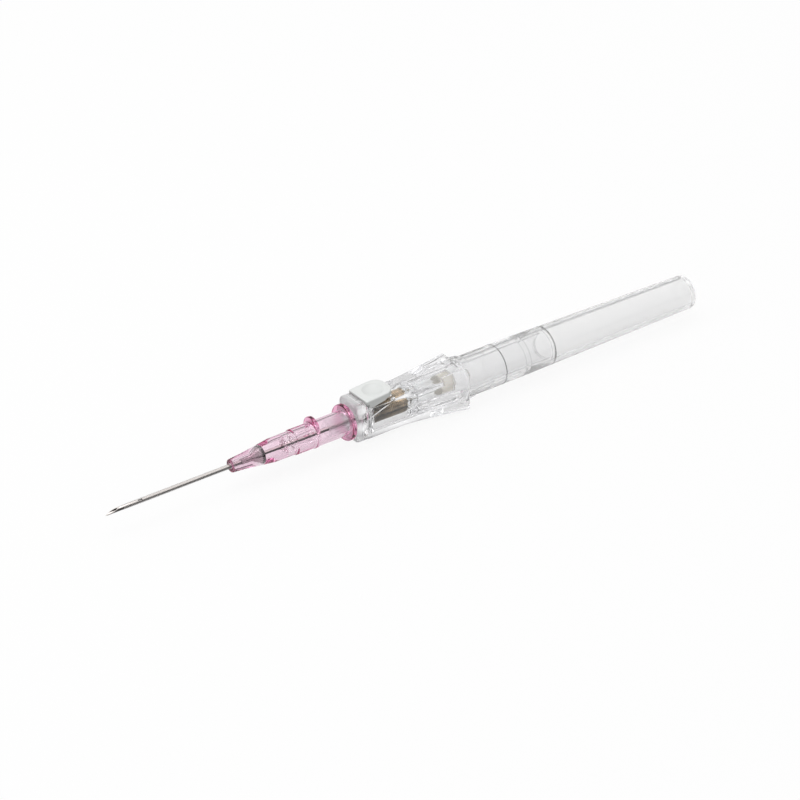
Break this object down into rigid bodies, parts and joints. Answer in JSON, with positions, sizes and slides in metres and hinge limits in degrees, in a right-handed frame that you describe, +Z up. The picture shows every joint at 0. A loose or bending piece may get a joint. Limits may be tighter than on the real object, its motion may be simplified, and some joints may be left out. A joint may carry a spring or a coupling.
{
  "type": "shielded peripheral iv cannula",
  "caption": "Peripheral intravenous cannula with catheter and pink luer hub over a bevelled needle, clear grip with push button, compressed spring and closed rear barrel.",
  "frame": {"origin": "on the device axis, where the catheter tube leaves the front of its hub", "axes": "+X back along the device axis towards the barrel's closed end, +Z up through the push button"},
  "size_m": [0.1497, 0.0102, 0.0106],
  "materials": {
    "needle_steel": "polished",
    "catheter_film": "translucent satin",
    "wedge_metal": "satin",
    "hub_pink": "translucent gloss",
    "septum_rubber": "matte",
    "actuator_plastic": "satin",
    "carriage_clear": "clear gloss",
    "adhesive": "glossy bead",
    "vent_plug": "porous",
    "spring_bronze": "drawn wire",
    "button_white": "satin",
    "grip_clear": "clear gloss",
    "barrel_pale": "pale translucent gloss"
  },
  "bodies": {
    "housing": {"grip_housing": "grip_clear", "rear_barrel": "barrel_pale"},
    "button": {"push_button": "button_white"},
    "carriage": {"needle_carriage": "carriage_clear", "needle_cannula": "needle_steel", "needle_adhesive": "adhesive", "vent_plug": "vent_plug", "retraction_spring": "spring_bronze"},
    "catheter": {"catheter_hub": "hub_pink", "catheter_tube": "catheter_film", "catheter_wedge": "wedge_metal", "septum": "septum_rubber"},
    "actuator": {"septum_actuator": "actuator_plastic"}
  },
  "joints": [
    {"name": "button_press", "type": "slide", "parent": "housing", "child": "button", "axis": [0, 0, -1], "range_m": [0, 0.0011], "stiffness_N_per_m": 300, "springref_m": -0.001},
    {"name": "needle_retract", "type": "slide", "parent": "housing", "child": "carriage", "axis": [1, 0, 0], "range_m": [0, 0.0633], "deforming": ["retraction_spring"]},
    {"name": "catheter_advance", "type": "slide", "parent": "housing", "child": "catheter", "axis": [-1, 0, 0], "range_m": [0, 0.062]},
    {"name": "actuator_slide", "type": "slide", "parent": "catheter", "child": "actuator", "axis": [-1, 0, 0], "range_m": [0, 0.0022], "deforming": ["septum"]}
  ]
}
